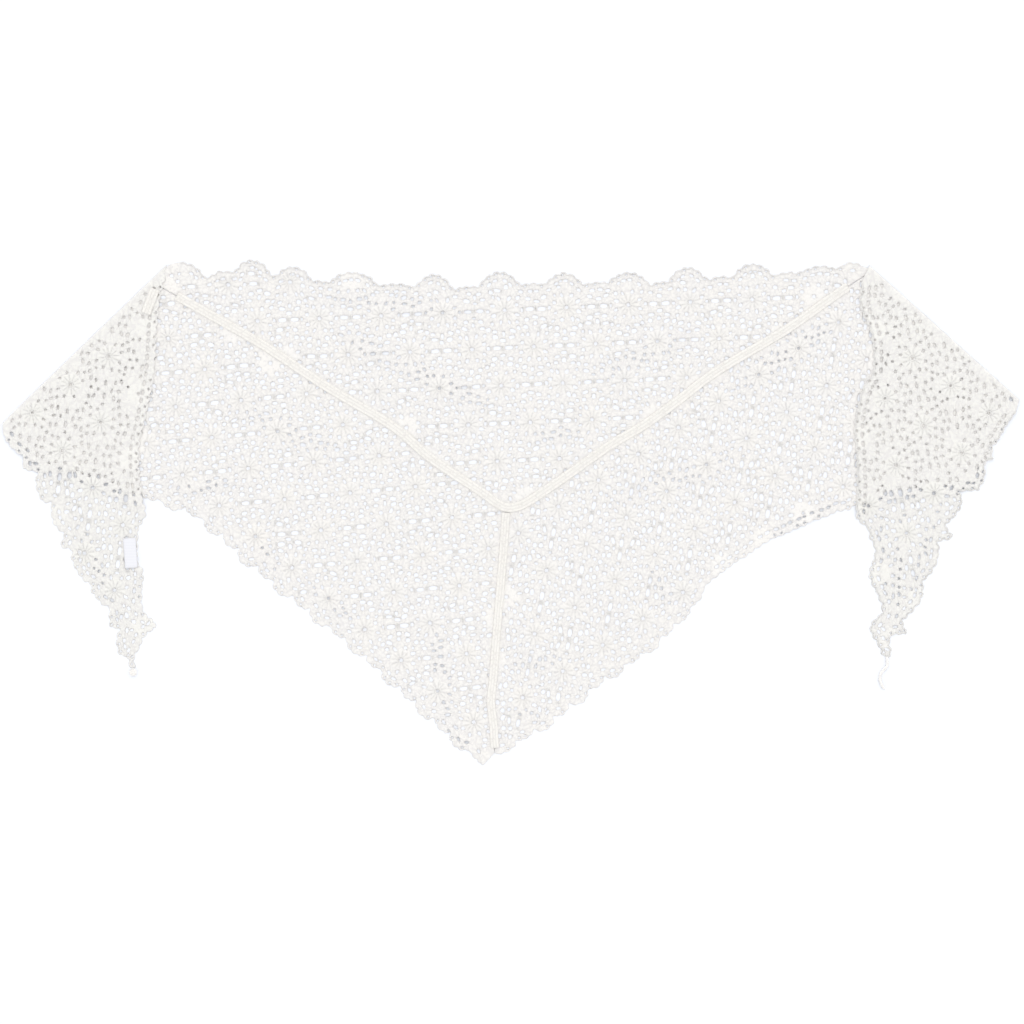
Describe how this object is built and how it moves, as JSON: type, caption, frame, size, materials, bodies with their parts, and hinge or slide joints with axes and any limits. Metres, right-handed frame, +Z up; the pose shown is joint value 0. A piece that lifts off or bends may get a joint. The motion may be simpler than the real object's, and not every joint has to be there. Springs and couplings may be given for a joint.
{
  "type": "triangular lace hip scarf, laid flat with both long ends folded over",
  "caption": "Triangular hip scarf of cotton floral lace with a V-shaped tape, a centre tape and scalloped edges, laid flat with its two long ends folded over.",
  "frame": {"origin": "on the table, under the middle of the scarf's footprint", "axes": "+X to the right along the top edge, +Y from the lower point towards the top edge, +Z up from the table"},
  "size_m": [1.118, 0.5552, 0.0061],
  "materials": {
    "lace": "matte cotton yarn lace",
    "tape": "matte woven cotton tape",
    "label": "smooth satin ribbon"
  },
  "bodies": {
    "root": {"yoke_panel": "lace", "left_panel": "lace", "right_panel": "lace", "left_end": "lace", "right_end": "lace", "v_tape": "tape", "centre_tape": "tape", "left_fold_tape": "tape", "care_label": "label", "left_tip_knot": "lace", "right_tip_cord": "lace"}
  },
  "joints": []
}
